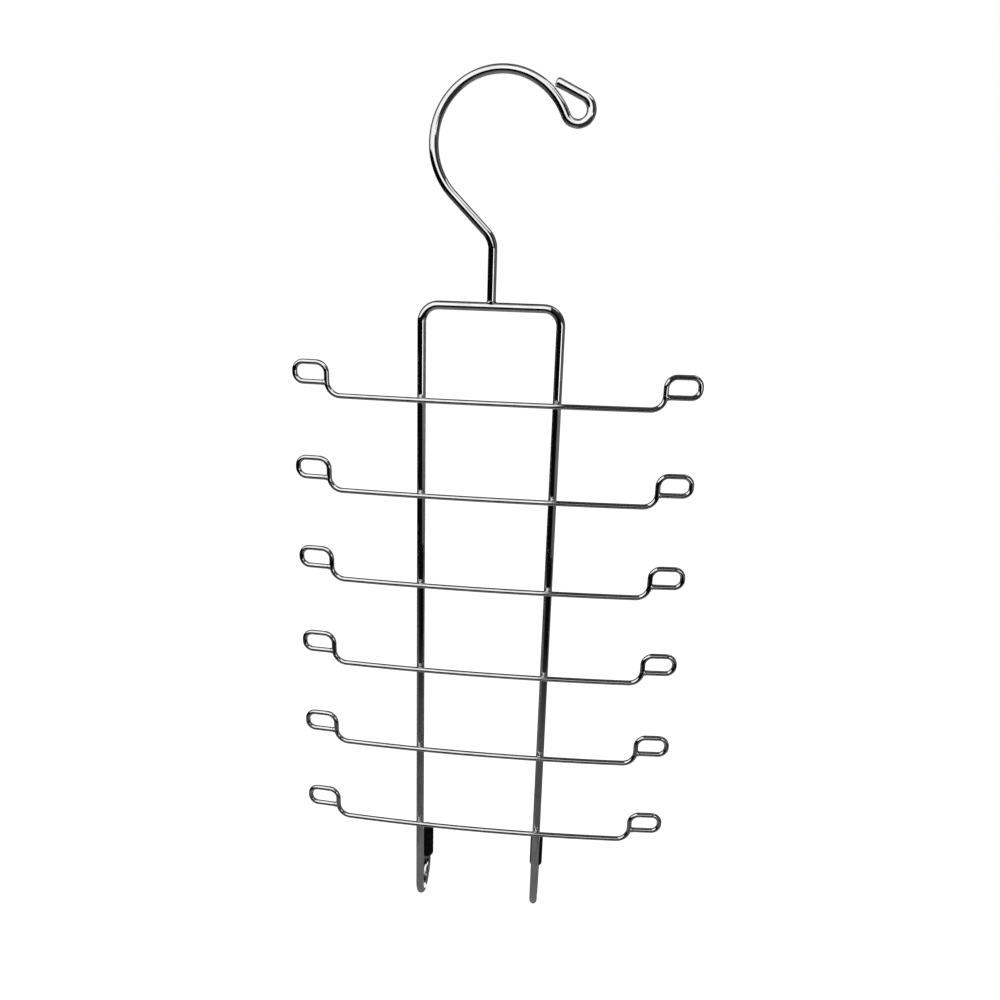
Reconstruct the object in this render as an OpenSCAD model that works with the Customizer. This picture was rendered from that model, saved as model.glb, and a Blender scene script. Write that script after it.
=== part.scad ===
// Hanger for scarves, bent and welded from round wire: a hook, a frame that is
// an upside-down U with its feet turned up behind, six crossbars with a loop at
// each end, and a soft cap on each end of the frame's wire.
// The origin is where the hook sits on its rod. +X is to the right and +Y is
// away from a person who faces the hanger, towards the feet's turned-up ends.

/* [Wire] */
// Thickness of the wire of the hook and the frame
frame_wire_d = 4; // [3:0.1:5]
// Thickness of the wire of the crossbars
bar_wire_d = 2.5; // [2:0.1:3.2]
// How much thinner the wire comes out where it is bent round a former
bend_thinning = 0.02; // [0.01:0.01:0.05]

/* [Hook] */
// Straight shank, from the centre of the top bar up to its bend
shank_len = 23.75; // [15:0.25:60]
// Radius of the bend at the top of the shank, to the centre of the wire
shank_bend_r = 10.25; // [6:0.25:20]
// Lean of the wire after that bend, in degrees
shank_bend_angle = 45; // [30:1:60]
// Straight wire between the shank's bend and the bowl
neck_len = 20.5; // [8:0.5:40]
// Radius of the hook's bowl, to the centre of the wire
bowl_r = 28.3; // [20:0.1:40]
// How far round the bowl goes, in degrees
bowl_angle = 199.5; // [180:0.5:205]
// Straight wire between the bowl and the eye
eye_neck_len = 1; // [0.5:0.1:4]
// Radius of the eye at the hook's tip, to the centre of the wire
eye_r = 5.35; // [4.8:0.05:8]
// How far the lower edge of the eye's straight tail, carried on, would cut into the bowl
tail_aim = 1.43; // [0.5:0.01:4]
// Rounding of the cut end of that tail
tail_round = 1; // [0.2:0.1:1.4]
// Gap between that end and the bowl
eye_gap = 0.2; // [0.1:0.1:2]

/* [Frame] */
// Distance between the centres of the two legs
leg_spacing = 61; // [40:0.5:100]
// Height from the centre of the top bar to the centre of the wire at the feet
frame_drop = 314; // [290:1:420]
// Radius of the top corners, to the centre of the wire
corner_r = 7.5; // [5:0.5:15]
// Radius of each foot's turn, to the centre of the wire
foot_r = 11; // [8:0.5:16]
// Straight wire that stands up behind each foot
return_len = 16.5; // [10:0.5:30]

/* [Crossbars] */
// Height from the centre of the top bar to the centre of the first crossbar
first_bar_drop = 41.7; // [30:0.1:60]
// Distance from one crossbar down to the next
bar_pitch = 44.5; // [30:0.5:48]
// Distance between the upright ends of a crossbar, centre to centre
bar_span = 151.5; // [130:0.5:220]
// Radius of the forward bow of each crossbar, seen from above
bow_r = 1000; // [700:10:3000]
// How far the crossbars sit to the right of the frame's middle
bar_shift = 2; // [-4:0.5:4]
// Clearance between the crossbars and the legs, which the weld fills
bar_clearance = 0.05; // [0.02:0.01:0.2]

/* [Loops] */
// Height from the crossbar to the loop's upper run, centre to centre
rise_h = 14.75; // [14:0.25:25]
// Radius of the bend from the crossbar up into the loop
rise_r = 6.3; // [3:0.1:8]
// Radius of the bend from the upright into the upper run
loop_shoulder_r = 4.7; // [3:0.1:6]
// Distance from the upright to the loop's tip, centre to centre
loop_len = 15; // [12:0.5:25]
// Distance between the loop's upper and lower runs, centre to centre
loop_h = 9; // [8.2:0.1:12]
// Radius of the two bends at the loop's tip
loop_tip_r = 4; // [2.5:0.1:4]
// Gap between the cut end of the loop and its upright, which the tack fills
loop_gap = 0.1; // [0.05:0.05:0.3]

/* [Caps] */
// Outside diameter of the soft caps
cap_d = 6.8; // [6:0.1:9]
// Rounding of the caps' edges
cap_round = 1.2; // [0.4:0.1:1.5]
// Thickness of the caps' closed end
cap_floor = 2.4; // [1.6:0.1:5]
// Clearance between a cap and the wire in it, all round
cap_clearance = 0.05; // [0.02:0.01:0.2]
// Bare wire between the foot's turn and the cap's mouth
cap_standoff = 0.3; // [0:0.1:3]

/* [Welds] */
// How far the bead at the foot of the hook stands out from the wire
hook_weld_proud = 0.5; // [0.3:0.1:1.5]
// How far the bead that closes a loop stands out from the wire
loop_weld_proud = 0.2; // [0.1:0.05:0.7]

/* [Hidden] */

// Facets of a wire's section, and of a full turn of wire
section_fn = 32;
turn_fn = 96;
// How far a straight wire runs into a thinner bend, so that the two are one
lap = 0.2;

frame_wire_r = frame_wire_d / 2;
bar_wire_r = bar_wire_d / 2;

// Centre of the bowl, from the centre of the top bar
bowl_x = -shank_bend_r * (1 - cos(shank_bend_angle)) - neck_len * sin(shank_bend_angle)
    + bowl_r * cos(shank_bend_angle);
bowl_z = shank_len + (shank_bend_r + bowl_r) * sin(shank_bend_angle) + neck_len * cos(shank_bend_angle);
// Where the rod touches the inside of the bowl
seat_x = bowl_x;
seat_z = bowl_z + bowl_r - frame_wire_r;

// The straight tail of the eye runs back to the bowl. Distances of the tail's
// lower edge, of the eye's centre and of the rounding's centre from a line
// through the bowl's centre that is parallel to the tail
tail_edge_off = bowl_r + frame_wire_r - tail_aim;
eye_centre_off = tail_edge_off + frame_wire_r - eye_r;
tail_round_off = tail_edge_off + tail_round;
// How far round the eye goes, so that its tail has that aim
eye_centre_dist = norm([bowl_r + eye_r, eye_neck_len]);
eye_angle = 180 + acos(eye_centre_off / eye_centre_dist) - atan2(eye_neck_len, bowl_r + eye_r);
// The tail ends where its rounded lower corner is eye_gap off the bowl
tail_len = sqrt(pow(eye_centre_dist, 2) - pow(eye_centre_off, 2)) + tail_round
    - sqrt(pow(bowl_r + frame_wire_r + eye_gap + tail_round, 2) - pow(tail_round_off, 2));

// Centre of the crossbars' bow, behind the frame
bow_depth = frame_wire_r + bar_wire_r + bar_clearance;
bow_centre_y = sqrt(pow(bow_r - bow_depth, 2) - pow(leg_spacing / 2, 2));
// Angles round the bow at which the crossbar's ends start to bend up
right_end_angle = asin((bar_span / 2 + bar_shift - rise_r) / bow_r);
left_end_angle = asin((bar_span / 2 - bar_shift - rise_r) / bow_r);
lap_angle = lap / bow_r * 180 / PI;
loop_wire_d = bar_wire_d - bend_thinning;
lower_run_len = loop_len - loop_tip_r - loop_wire_d / 2 - loop_gap;

// Length of each cap's bore
cap_bore_len = return_len - cap_standoff + cap_clearance;

// Puts a piece drawn from the centre of the top bar where it hangs
module hung() {
    translate([-seat_x, 0, -seat_z]) children();
}

// Straight wire along +Z. The children go on from its far end.
module straight(wire_d, length, lap_in = 0, lap_out = 0) {
    translate([0, 0, -lap_in])
        cylinder(d = wire_d, h = length + lap_in + lap_out, $fn = section_fn);
    translate([0, 0, length]) children();
}

// Wire that leaves along +Z and bends towards +X, or towards -X where the angle
// is negative. The children go on from its far end.
module bend(wire_d, radius, angle) {
    side = sign(angle);
    translate([side * radius, 0, 0]) {
        rotate([90, 0, 0])
            rotate([0, 0, side > 0 ? 180 - angle : 0])
                rotate_extrude(angle = abs(angle), $fn = turn_fn)
                    translate([radius, 0]) circle(d = wire_d, $fn = section_fn);
        rotate([0, angle, 0]) translate([-side * radius, 0, 0]) children();
    }
}

// Half of the frame: top bar, corner, leg, turned foot and the end behind it
module half_frame() {
    leg_len = frame_drop - corner_r - foot_r;
    rotate([0, 90, 0])
        straight(frame_wire_d, leg_spacing / 2 - corner_r)
        bend(frame_wire_d, corner_r, 90)
        straight(frame_wire_d, leg_len)
        rotate([0, 0, 90])
        bend(frame_wire_d, foot_r, 180)
        straight(frame_wire_d, return_len);
}

module frame() {
    color("silver") hung() {
        half_frame();
        mirror([1, 0, 0]) half_frame();
    }
}

// One wire from the frame's top bar to the cut end beside the bowl
module hook() {
    foot_z = frame_wire_r + bar_clearance;
    bent_d = frame_wire_d - bend_thinning;
    color("silver") hung()
        translate([0, 0, foot_z])
        straight(frame_wire_d, shank_len - foot_z, lap_out = lap)
        bend(bent_d, shank_bend_r, -shank_bend_angle)
        straight(frame_wire_d, neck_len, lap, lap)
        bend(bent_d, bowl_r, bowl_angle)
        straight(frame_wire_d, eye_neck_len, lap, lap)
        bend(bent_d, eye_r, -eye_angle)
        rounded_end(frame_wire_d, tail_len, tail_round);
}

// Straight wire along +Z that ends there with a rounded edge
module rounded_end(wire_d, length, rounding) {
    rotate_extrude($fn = section_fn) {
        translate([0, -lap]) square([wire_d / 2, length + lap - rounding]);
        square([wire_d / 2 - rounding, length]);
        translate([wire_d / 2 - rounding, length - rounding])
            intersection() {
                circle(r = rounding, $fn = 48);
                square(rounding);
            }
    }
}

// The upright and the loop, from the end of the crossbar, which points to +X
module loop() {
    upright_len = rise_h - rise_r - loop_shoulder_r;
    upper_run_len = loop_len - loop_shoulder_r - loop_tip_r;
    rotate([0, 90, 0]) rotate([0, 0, 180])
        bend(loop_wire_d, rise_r, 90)
        straight(loop_wire_d, upright_len)
        bend(loop_wire_d, loop_shoulder_r, -90)
        straight(loop_wire_d, upper_run_len)
        bend(loop_wire_d, loop_tip_r, -90)
        straight(loop_wire_d, loop_h - 2 * loop_tip_r)
        bend(loop_wire_d, loop_tip_r, -90)
        straight(loop_wire_d, lower_run_len);
}

// Turns the children, drawn at the middle of the bow, to an angle round it
module round_the_bow(angle) {
    translate([0, bow_centre_y, 0]) rotate([0, 0, angle]) translate([0, -bow_r, 0]) children();
}

module crossbar_wire() {
    translate([0, bow_centre_y, 0])
        rotate([0, 0, -90 - left_end_angle - lap_angle])
        rotate_extrude(angle = left_end_angle + right_end_angle + 2 * lap_angle, $fn = 12 * turn_fn)
        translate([bow_r, 0]) circle(d = bar_wire_d, $fn = section_fn);
    round_the_bow(right_end_angle) loop();
    round_the_bow(-left_end_angle) mirror([1, 0, 0]) loop();
}

// Puts a crossbar, or what is on it, at its height: the first is the highest
module at_bar(number) {
    hung() translate([0, 0, -first_bar_drop - (number - 1) * bar_pitch]) children();
}

module crossbar(number) {
    color("silver") at_bar(number) crossbar_wire();
}

// Half the outline of a cap, from its closed end at the top to its mouth
module cap_outline(length) {
    r = cap_d / 2;
    translate([0, cap_round]) square([r, length - 2 * cap_round]);
    square([r - cap_round, length]);
    for (z = [cap_round, length - cap_round]) translate([r - cap_round, z]) circle(r = cap_round, $fn = 48);
}

// Blind soft cap that is pushed onto the end of the frame's wire
module cap(side) {
    length = cap_bore_len + cap_floor;
    color("#151515") hung()
        translate([side * leg_spacing / 2, 2 * foot_r, -frame_drop + foot_r + cap_standoff])
        difference() {
            rotate_extrude($fn = turn_fn) intersection() {
                cap_outline(length);
                square([cap_d, length]);
            }
            translate([0, 0, -1])
                cylinder(d = frame_wire_d + 2 * cap_clearance, h = cap_bore_len + 1, $fn = turn_fn);
        }
}

// Bead between the foot of the shank and the top bar
module hook_weld() {
    color("gainsboro") difference() {
        hung() translate([0, 0, frame_wire_r]) sphere(d = frame_wire_d + 2 * hook_weld_proud, $fn = turn_fn);
        hook();
        frame();
    }
}

// Beads at the closed ends of one crossbar's loops
module loop_welds(number) {
    color("gainsboro") difference() {
        at_bar(number) {
            round_the_bow(right_end_angle) loop_bead();
            round_the_bow(-left_end_angle) mirror([1, 0, 0]) loop_bead();
        }
        crossbar(number);
    }
}

// Bead where the loop's cut end meets its upright
module loop_bead() {
    translate([rise_r + loop_wire_d / 2, 0, rise_h - loop_h])
        rotate([0, 90, 0]) rotate([0, 0, 30])
        sphere(d = bar_wire_d + 2 * loop_weld_proud, $fn = turn_fn);
}

frame();
hook();
crossbar(1);  // crossbar_1
crossbar(2);  // crossbar_2
crossbar(3);  // crossbar_3
crossbar(4);  // crossbar_4
crossbar(5);  // crossbar_5
crossbar(6);  // crossbar_6
cap(-1);  // left_cap
cap(1);  // right_cap
hook_weld();
loop_welds(1);  // loop_welds_1
loop_welds(2);  // loop_welds_2
loop_welds(3);  // loop_welds_3
loop_welds(4);  // loop_welds_4
loop_welds(5);  // loop_welds_5
loop_welds(6);  // loop_welds_6
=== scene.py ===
# %% [markdown]
# # A scarf hanger of bent and plated wire
# Every piece of this hanger is round wire: a hook, a frame like a narrow
# upside-down U, and six crossbars with a small loop at each end. The wires'
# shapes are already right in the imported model, so this lesson is mostly about
# how bright plating looks, and what it needs around it in order to look so.
# The model loads as a fixed frame, and nothing in it is moved.

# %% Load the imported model
import math

import bmesh
import bpy
from mathutils import Euler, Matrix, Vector


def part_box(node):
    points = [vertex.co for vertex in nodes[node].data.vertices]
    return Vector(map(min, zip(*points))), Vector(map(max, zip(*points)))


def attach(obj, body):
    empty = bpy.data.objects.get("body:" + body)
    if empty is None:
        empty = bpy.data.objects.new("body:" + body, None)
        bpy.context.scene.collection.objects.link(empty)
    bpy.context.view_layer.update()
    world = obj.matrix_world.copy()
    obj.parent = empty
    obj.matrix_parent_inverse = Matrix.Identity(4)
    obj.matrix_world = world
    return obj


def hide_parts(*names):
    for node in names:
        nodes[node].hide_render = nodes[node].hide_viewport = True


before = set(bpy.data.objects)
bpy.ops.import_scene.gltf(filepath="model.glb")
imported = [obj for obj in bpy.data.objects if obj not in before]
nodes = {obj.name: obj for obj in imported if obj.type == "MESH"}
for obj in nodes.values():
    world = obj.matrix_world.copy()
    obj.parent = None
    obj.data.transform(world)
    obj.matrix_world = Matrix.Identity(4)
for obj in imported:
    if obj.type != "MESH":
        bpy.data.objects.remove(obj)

scene = bpy.context.scene
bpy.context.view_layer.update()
print("nodes:", sorted(nodes))

# %% [markdown]
# ## The camera
# The hanger was photographed from close by and looking a little down, so it
# narrows towards its feet. A camera in Blender is a place, three angles and a
# lens. These were fitted to the wires' centre lines, because a thin line shows
# a wrong angle sooner than a surface does. The lens comes from the focal
# length, counted in widths of the picture, times the sensor's width.

# %% Place the camera
SENSOR_MM = 36
FOCAL_IN_WIDTHS = 0.85035
CAMERA_PLACE = Vector((0.0372, -0.3755, -0.0674))
CAMERA_ANGLES = (73.527, -1.693, 5.576)
NEAREST_SEEN = 0.01

camera_data = bpy.data.cameras.new("camera")
camera_data.sensor_width = SENSOR_MM
camera_data.lens = FOCAL_IN_WIDTHS * SENSOR_MM
camera_data.clip_start = NEAREST_SEEN
camera = bpy.data.objects.new("camera", camera_data)
camera.location = CAMERA_PLACE
camera.rotation_euler = Euler([math.radians(a) for a in CAMERA_ANGLES], "XYZ")
scene.collection.objects.link(camera)
scene.camera = camera
print("lens:", round(camera_data.lens, 2), "mm")

# %% [markdown]
# ## A short way to write materials
# A material in Blender is a graph of nodes. It could be wired by hand, but a
# few helpers keep each finish down to the lines that matter. Every finish
# starts from the same three: the output, the shader, and the object's own
# coordinates in metres, so that a pattern has the same size on every piece.

# %% Helpers that add nodes
def add_node(tree, kind, **inputs):
    node = tree.nodes.new(kind)
    for name, value in inputs.items():
        node.inputs[name.replace("_", " ")].default_value = value
    return node


def maths(tree, operation, *terms):
    """Joins sockets and plain numbers with one operation."""
    node = add_node(tree, "ShaderNodeMath")
    node.operation = operation
    for socket, term in zip(node.inputs, terms):
        if isinstance(term, float):
            socket.default_value = term
        else:
            tree.links.new(term, socket)
    return node.outputs["Value"]


def new_finish(name):
    material = bpy.data.materials.new(name)
    material.use_nodes = True
    tree = material.node_tree
    tree.nodes.clear()
    output = tree.nodes.new("ShaderNodeOutputMaterial")
    shader = tree.nodes.new("ShaderNodeBsdfPrincipled")
    tree.links.new(shader.outputs["BSDF"], output.inputs["Surface"])
    place = tree.nodes.new("ShaderNodeTexCoord").outputs["Object"]
    return material, tree, shader, place


print("helpers for nodes are ready")

# %% [markdown]
# ## Noise and what it drives
# Real surfaces vary, and smooth noise is the plainest way to say how. Its
# values bunch round the middle, so only the middle of its range is stretched
# over the two ends that a finish asks for. The same noise can set a number,
# mix two tones or raise the surface a little.

# %% Helpers that use noise
NOISE_RANGE = (0.3, 0.7)
TONE_RANGE = (0.35, 0.65)


def noise(tree, place, per_metre, detail):
    node = add_node(tree, "ShaderNodeTexNoise", Scale=per_metre, Detail=detail)
    tree.links.new(place, node.inputs["Vector"])
    return node.outputs["Fac"]


def between(tree, value, low, high):
    node = add_node(tree, "ShaderNodeMapRange", From_Min=NOISE_RANGE[0],
                    From_Max=NOISE_RANGE[1], To_Min=low, To_Max=high)
    tree.links.new(value, node.inputs["Value"])
    return node.outputs["Result"]


def two_tones(tree, value, dark, light, tone_range=TONE_RANGE):
    node = tree.nodes.new("ShaderNodeValToRGB")
    ends = zip(node.color_ramp.elements, tone_range, (dark, light))
    for element, position, tone in ends:
        element.position = position
        element.color = (*tone, 1)
    tree.links.new(value, node.inputs["Fac"])
    return node.outputs["Color"]


def bump(tree, shader, height, strength, distance):
    node = add_node(tree, "ShaderNodeBump", Strength=strength, Distance=distance)
    tree.links.new(height, node.inputs["Height"])
    tree.links.new(node.outputs["Normal"], shader.inputs["Normal"])


print("helpers for noise are ready")

# %% [markdown]
# ## Bright plating
# The wire is plated with chromium over nickel after it is welded. A plated
# wire has almost no colour of its own: it is a long narrow mirror. What makes
# it look real is how little is wrong with it. The plating clouds slightly over
# a few millimetres, tiny pits and rubs from other hangers blur the mirror here
# and there, and the surface under it isn't perfectly even. A flat grey mirror
# would be simpler, but it would look like a drawing.

# %% Make the bright plating
MM_PER_METRE = 1000
CLOUDED_METAL = (0.74, 0.745, 0.75)
CLEAR_METAL = (0.86, 0.865, 0.87)
RUBS_PER_METRE, PITS_PER_METRE, WAVES_PER_METRE = 450.0, 900.0, 700.0
WAVES_AGAINST_PITS = 0.7
SKIN_DEPTH = 0.00002


def bright_plating(name, cloud_mm, roughness, uneven):
    material, tree, shader, place = new_finish(name)
    shader.inputs["Metallic"].default_value = 1.0
    clouds = noise(tree, place, MM_PER_METRE / cloud_mm, detail=3.0)
    colour = two_tones(tree, clouds, CLOUDED_METAL, CLEAR_METAL)
    tree.links.new(colour, shader.inputs["Base Color"])
    rubs = noise(tree, place, RUBS_PER_METRE, detail=5.0)
    tree.links.new(between(tree, rubs, *roughness), shader.inputs["Roughness"])
    pits = add_node(tree, "ShaderNodeTexVoronoi", Scale=PITS_PER_METRE)
    tree.links.new(place, pits.inputs["Vector"])
    waves = noise(tree, place, WAVES_PER_METRE, detail=2.0)
    skin = maths(tree, "MULTIPLY_ADD", waves, WAVES_AGAINST_PITS, pits.outputs["Distance"])
    bump(tree, shader, skin, uneven, SKIN_DEPTH)
    return material


plating = bright_plating("bright_plating", cloud_mm=6.0, roughness=(0.03, 0.07), uneven=0.04)
print("made", plating.name)

# %% [markdown]
# ## Plated welds
# Each bead is a puddle of metal that froze in a moment, plated with the rest.
# It has the same colour but a lumpier skin, so it glints in points. The same
# recipe serves, with finer clouds, a rougher mirror and more unevenness.

# %% Make the finish of the welds
weld_skin = bright_plating("plated_weld", cloud_mm=1.2, roughness=(0.12, 0.24), uneven=0.8)
print("made", weld_skin.name)

# %% [markdown]
# ## The soft caps
# Two black vinyl caps keep the wire's cut ends off the cloth. Dipped vinyl is
# nearly black, with a low broad sheen, a fine orange-peel skin and pale
# scuffs. The scuffs come from a noise that is cut off high, so that only its
# peaks lighten the colour.

# %% Make the black vinyl
CLEAN_VINYL, SCUFFED_VINYL = (0.002, 0.002, 0.0022), (0.012, 0.012, 0.0125)
ONLY_THE_PEAKS = (0.55, 0.85)
SCUFFS_PER_METRE, PEEL_PER_METRE = 380.0, 1600.0
PEEL_STRENGTH, PEEL_DEPTH = 0.35, 0.00006
VINYL_SHEEN = 0.12
VINYL_ROUGHNESS = (0.45, 0.65)

vinyl, tree, shader, place = new_finish("black_vinyl")
scuffs = noise(tree, place, SCUFFS_PER_METRE, detail=6.0)
colour = two_tones(tree, scuffs, CLEAN_VINYL, SCUFFED_VINYL, ONLY_THE_PEAKS)
shader.inputs["Specular IOR Level"].default_value = VINYL_SHEEN
tree.links.new(colour, shader.inputs["Base Color"])
tree.links.new(between(tree, scuffs, *VINYL_ROUGHNESS), shader.inputs["Roughness"])
peel = noise(tree, place, PEEL_PER_METRE, detail=3.0)
bump(tree, shader, peel, PEEL_STRENGTH, PEEL_DEPTH)
print("made", vinyl.name)

# %% [markdown]
# ## Give each piece its finish
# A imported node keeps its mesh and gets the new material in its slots. The
# names say what each piece is, so one rule per kind of piece is enough, and
# it takes in a piece that is added later.

# %% Hand out the finishes
def finish_for(name):
    if "cap" in name:
        return vinyl
    if "weld" in name:
        return weld_skin
    return plating


for name, piece in sorted(nodes.items()):
    piece.data.materials.clear()
    piece.data.materials.append(finish_for(name))
    print(name, "->", piece.data.materials[0].name)

# %% [markdown]
# ## A tack
# Each crossbar is held to the legs by small tacks of weld metal, only about
# 2 mm across. Such a small frozen drop could be sculpted, but a ball that is
# pushed in and out by two smooth waves is enough. The waves start elsewhere on
# every ball, so no two tacks are alike.

# %% Make one tack
TACK_R = 0.00105
TACK_FINENESS = 4
TACK_SQUASH = (1.0, 0.8, 0.9)
WIDE_SWELL, WIDE_PACE = 0.07, 3.1
FINE_SWELL, FINE_PACE = 0.05, 4.3


def add_weld(name, mesh, finish, place=(0, 0, 0), squash=(1, 1, 1)):
    """Adds a visible piece of weld metal that rides on the hanger."""
    mesh.shade_smooth()
    mesh.materials.append(finish)
    piece = bpy.data.objects.new(name, mesh)
    piece.location = place
    piece.scale = squash
    scene.collection.objects.link(piece)
    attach(piece, "root")
    return piece


def tack(name, place, turn):
    ball = bmesh.new()
    bmesh.ops.create_icosphere(ball, subdivisions=TACK_FINENESS, radius=TACK_R)
    for v in ball.verts:
        n = v.co.normalized()
        swell = (WIDE_SWELL * math.sin(WIDE_PACE * n.x + turn)
                 + FINE_SWELL * math.sin(FINE_PACE * n.z - 2 * turn))
        v.co = v.co * (1 + swell)
    mesh = bpy.data.meshes.new(name)
    ball.to_mesh(mesh)
    ball.free()
    add_weld(name, mesh, weld_skin, place, TACK_SQUASH)


print("a tack is about", 2 * TACK_R * MM_PER_METRE, "mm across")

# %% [markdown]
# ## Tacks on the legs
# The tacks sit in the nook above the bar, at the front of each leg, where a
# welder can reach. Their places could be written down one by one. They come
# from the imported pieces' own boxes instead, so the tacks stay where the bars
# are.

# %% Put a tack above each crossing
CROSSBARS = 6
LEG_WIRE_R, BAR_WIRE_D = 0.002, 0.0025
TACK_FORWARD, TACK_UP = 0.0003, 0.0002
TURN_PER_METRE = 90

frame_low, frame_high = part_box("frame")
leg_places = {"left": frame_low[0] + LEG_WIRE_R, "right": frame_high[0] - LEG_WIRE_R}
for number in range(1, CROSSBARS + 1):
    bar_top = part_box("crossbar_%d" % number)[0][2] + BAR_WIRE_D
    for side, x in leg_places.items():
        tack("%s_tack_%d" % (side, number),
             (x, -LEG_WIRE_R - TACK_FORWARD, bar_top + TACK_UP), number + x * TURN_PER_METRE)
    print("tacks above bar", number, "at height", round(bar_top * MM_PER_METRE, 1), "mm")

# %% [markdown]
# ## The foot of the hook
# The hook stands on the top bar in a weld that was dressed smooth before
# plating, so it shows only as a slight flare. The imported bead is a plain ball,
# so this mesh takes its place: a stack of oval rings that starts on the shank,
# spreads along the bar, keeps narrow across it and ends inside the bar. Each
# ring is a height over the bar, a reach along it and a reach across it.

# %% Flare the foot of the hook
FLARE_RINGS_MM = [
    (0.7, 1.995, 1.995), (0.4, 2.03, 2.0), (0.2, 2.1, 2.005), (0.05, 2.22, 2.005),
    (-0.1, 2.4, 2.0), (-0.45, 2.45, 1.97), (-0.9, 2.2, 1.85), (-1.4, 1.9, 1.6)]
RING_POINTS = 48


def stacked_rings(name, foot):
    points, faces = [], []
    for height, along, across in FLARE_RINGS_MM:
        for k in range(RING_POINTS):
            turn = 2 * math.pi * k / RING_POINTS
            points.append((foot[0] + along * math.cos(turn) / MM_PER_METRE,
                           foot[1] + across * math.sin(turn) / MM_PER_METRE,
                           foot[2] + height / MM_PER_METRE))
    last = len(points) - RING_POINTS
    for start in range(0, last, RING_POINTS):
        for k in range(RING_POINTS):
            a, b = start + k, start + (k + 1) % RING_POINTS
            faces.append((a, a + RING_POINTS, b + RING_POINTS, b))
    faces.append(tuple(reversed([last + k for k in range(RING_POINTS)])))
    faces.append(tuple(range(RING_POINTS)))
    mesh = bpy.data.meshes.new(name)
    mesh.from_pydata(points, [], faces)
    return mesh


weld_low, weld_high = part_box("hook_weld")
foot = ((weld_low[0] + weld_high[0]) / 2, (weld_low[1] + weld_high[1]) / 2, frame_high[2])
flare = add_weld("hook_foot_flare", stacked_rings("hook_foot_flare", foot), plating)
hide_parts("hook_weld")
print("flare at", [round(c * MM_PER_METRE, 2) for c in foot], "mm")

# %% [markdown]
# ## A card that only the mirror sees
# A mirror is only as good as its room. Bright wire in an all-white room
# vanishes, so it is photographed between cards and panels. Here such a card is
# a grid of points with a brightness at each, so that it can be shaded
# smoothly. Only reflections see it, so it neither lights the hanger nor hides
# it.

# %% Make a glowing patch
def glow_material(name):
    material = bpy.data.materials.new(name)
    material.use_nodes = True
    tree = material.node_tree
    tree.nodes.clear()
    shade = tree.nodes.new("ShaderNodeAttribute")
    shade.attribute_name = "glow"
    emission = tree.nodes.new("ShaderNodeEmission")
    tree.links.new(shade.outputs["Color"], emission.inputs["Color"])
    output = tree.nodes.new("ShaderNodeOutputMaterial")
    tree.links.new(emission.outputs["Emission"], output.inputs["Surface"])
    return material


def glowing_patch(name, points, glows, columns):
    faces = []
    for corner in range(len(points) - columns - 2):
        if corner % (columns + 1) < columns:
            faces.append((corner, corner + 1, corner + columns + 2, corner + columns + 1))
    mesh = bpy.data.meshes.new(name)
    mesh.from_pydata(points, [], faces)
    glow = mesh.color_attributes.new("glow", "FLOAT_COLOR", "POINT")
    for point, value in zip(glow.data, glows):
        point.color = (value, value, value, 1)
    mesh.materials.append(glow_material(name))
    patch = bpy.data.objects.new(name, mesh)
    scene.collection.objects.link(patch)
    patch.visible_camera = False
    patch.visible_diffuse = False
    patch.visible_shadow = False
    patch.visible_transmission = False


print("glowing patches are ready")

# %% [markdown]
# ## What the mirror sees
# A white panel stands high in front, black cards draw dark lines along the
# wire, a narrow lamp gives the bright line, and the table is a dull grey. Each
# card is cut from one large sphere round the hanger, by its bearing from the
# front and its height above the horizon, in degrees. That is how a round wire
# sees its room, so every line in the wire belongs to one card. Straight behind
# the hanger they leave a gap through which the white room shows.

# %% Put up the cards
CARD_DISTANCE = 1.2
MIDDLE = Vector((0.0, 0.0, -0.2))
CARD_STEP = 6
FEWEST_STEPS = 2

# Brightness at the lower and the upper edge, bearings, heights
CARDS = {
    "white_panel": ((1.15, 1.15), (-70, 22), (10, 66)),
    "white_panel_right": ((1.0, 1.0), (22, 105), (46, 66)),
    "pale_wall_left": ((0.4, 0.5), (-96, -70), (10, 66)),
    "dark_wall_left": ((0.01, 0.01), (-120, -96), (10, 66)),
    "dark_wall_right": ((0.03, 0.03), (22, 75), (10, 46)),
    "grey_wall_right": ((0.11, 0.09), (75, 120), (10, 46)),
    "grey_wall_far_right": ((0.2, 0.2), (105, 120), (46, 66)),
    "grey_overhead": ((0.22, 0.22), (-120, 120), (66, 90)),
    "dark_behind": ((0.04, 0.04), (120, 240), (10, 90)),
    "black_card_left": ((0.003, 0.003), (-150, 25), (-6.5, 10)),
    "lamp_strip": ((1.7, 1.7), (25, 42), (-6.5, 10)),
    "grey_card_right": ((0.1, 0.1), (42, 150), (-6.5, 10)),
    "black_card_low": ((0.003, 0.003), (-150, 34), (-20, -6.5)),
    "grey_card_low": ((0.09, 0.17), (34, 150), (-20, -6.5)),
    "black_card_foot_left": ((0.08, 0.003), (-150, -40), (-28, -20)),
    "black_card_foot": ((0.004, 0.003), (-40, 90), (-28, -20)),
    "grey_card_foot_right": ((0.08, 0.09), (90, 150), (-28, -20)),
    "table_edge_left": ((0.1, 0.08), (-150, -40), (-36, -28)),
    "table_edge": ((0.07, 0.004), (-40, 90), (-36, -28)),
    "table_edge_right": ((0.08, 0.08), (90, 150), (-36, -28)),
    "table_back": ((0.1, 0.07), (-150, 150), (-44, -36)),
    "table": ((0.17, 0.14), (-180, 180), (-90, -44)),
}


def part_way(ends, step, steps):
    return ends[0] + (ends[1] - ends[0]) * step / steps


def on_the_sphere(bearing, height):
    b, h = math.radians(bearing), math.radians(height)
    return MIDDLE + CARD_DISTANCE * Vector(
        (math.sin(b) * math.cos(h), -math.cos(b) * math.cos(h), math.sin(h)))


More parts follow.
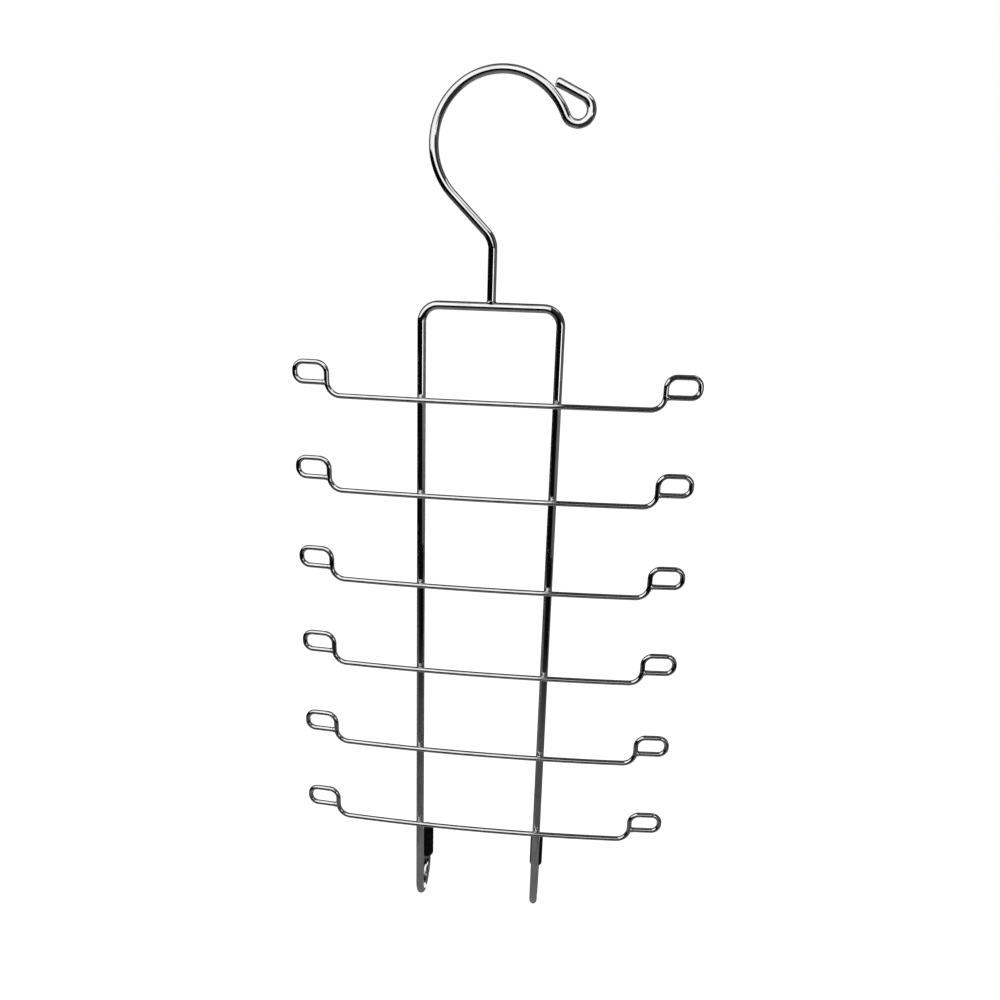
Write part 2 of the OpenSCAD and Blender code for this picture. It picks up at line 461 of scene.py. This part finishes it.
def card(name, brightness, bearings, heights):
    columns = max(FEWEST_STEPS, round((bearings[1] - bearings[0]) / CARD_STEP))
    rows = max(FEWEST_STEPS, round((heights[1] - heights[0]) / CARD_STEP))
    points, glows = [], []
    for r in range(rows + 1):
        for c in range(columns + 1):
            points.append(on_the_sphere(part_way(bearings, c, columns),
                                        part_way(heights, r, rows)))
            glows.append(part_way(brightness, r, rows))
    glowing_patch(name, points, glows, columns)


for name, settings in CARDS.items():
    card(name, *settings)
print("put up", len(CARDS), "cards")

# %% [markdown]
# ## A dark shelf on the right
# The right arms of the crossbars are darker than the left ones, although the
# hook above them is not. A card that is far away would darken both. Only
# something near can darken one part and spare the other, so this card is a
# flat shelf to the right of the frame, at the height of the hook's lowest bend.

# %% Lay the shelf
SHELF_X, SHELF_Y, SHELF_Z = (0.032, 0.75), (-0.42, -0.006), -0.068
SHELF_GLOW = 0.03

shelf_corners = [(x, y, SHELF_Z) for y in SHELF_Y for x in SHELF_X]
glowing_patch("dark_shelf_right", shelf_corners, [SHELF_GLOW] * len(shelf_corners), 1)
print("shelf at", SHELF_Z, "m")

# %% [markdown]
# ## The white room
# The background is plain white. The world could simply shine at full strength,
# but then it would wash out the black caps. So it does that only for what the
# camera or a reflection sees, and lights the hanger more gently.

# %% Make the world
ROOM_LIGHT = 0.6


def seen_directly(tree):
    path = tree.nodes.new("ShaderNodeLightPath").outputs
    either = maths(tree, "MAXIMUM", path["Is Camera Ray"], path["Is Glossy Ray"])
    return maths(tree, "MAXIMUM", either, path["Is Transmission Ray"])


world = bpy.data.worlds.new("white_room")
world.use_nodes = True
scene.world = world
tree = world.node_tree
background = tree.nodes["Background"]
background.inputs["Color"].default_value = (1, 1, 1, 1)
strength = add_node(tree, "ShaderNodeMapRange", To_Min=ROOM_LIGHT, To_Max=1.0)
tree.links.new(seen_directly(tree), strength.inputs["Value"])
tree.links.new(strength.outputs["Result"], background.inputs["Strength"])
print("the room lights the hanger with", ROOM_LIGHT)

# %% [markdown]
# ## The floor
# The hanger hangs, so the pale floor is far below its feet and takes only a
# soft shadow. A floor that is lit like everything else would come out grey. A
# little light of its own, for the camera and reflections, brings it up to
# white and leaves the shadow in place.

# %% Lay the floor
FLOOR_HEIGHT = -1.45
FLOOR_REACH = 40
FLOOR_TONE = (0.85, 0.85, 0.85, 1)
FLOOR_LIFT = 0.6

corners = [(x * FLOOR_REACH, y * FLOOR_REACH, FLOOR_HEIGHT)
           for x, y in ((-1, -1), (1, -1), (1, 1), (-1, 1))]
floor_mesh = bpy.data.meshes.new("floor")
floor_mesh.from_pydata(corners, [], [(0, 1, 2, 3)])
floor = bpy.data.objects.new("floor", floor_mesh)
scene.collection.objects.link(floor)
floor_paint = bpy.data.materials.new("pale_floor")
floor_paint.use_nodes = True
tree = floor_paint.node_tree
tree.nodes.clear()
matt = add_node(tree, "ShaderNodeBsdfDiffuse", Color=FLOOR_TONE)
lift = add_node(tree, "ShaderNodeEmission", Color=(1, 1, 1, 1))
tree.links.new(maths(tree, "MULTIPLY", seen_directly(tree), FLOOR_LIFT),
               lift.inputs["Strength"])
both = tree.nodes.new("ShaderNodeAddShader")
tree.links.new(matt.outputs["BSDF"], both.inputs[0])
tree.links.new(lift.outputs["Emission"], both.inputs[1])
output = tree.nodes.new("ShaderNodeOutputMaterial")
tree.links.new(both.outputs["Shader"], output.inputs["Surface"])
floor_mesh.materials.append(floor_paint)
print("floor at", FLOOR_HEIGHT, "m")

# %% [markdown]
# ## The lamps
# Two large soft lamps light the black caps and the floor: one high on the
# left, one on the right. They are turned off for reflections, because the
# cards already say what the mirror sees.

# %% Hang the lamps
LAMP_SIZE = 0.9
# Place and watts
LAMPS = {"lamp_left": ((-0.9, -0.9, 0.8), 9.0), "lamp_right": ((1.0, -0.7, 0.5), 7.0)}

for name, (place, watts) in LAMPS.items():
    light = bpy.data.lights.new(name, "AREA")
    light.shape = "SQUARE"
    light.size = LAMP_SIZE
    light.energy = watts
    lamp = bpy.data.objects.new(name, light)
    lamp.location = place
    lamp.rotation_euler = (MIDDLE - Vector(place)).to_track_quat("-Z", "Y").to_euler()
    lamp.visible_glossy = False
    scene.collection.objects.link(lamp)
    print("hung", name, "of", watts, "W")

# %% [markdown]
# ## Colours as written
# The Standard view shows a colour as it is written, with no film curve, which
# keeps white paper white and the dark lines in the wire dark.

# %% Set the view
scene.view_settings.view_transform = "Standard"
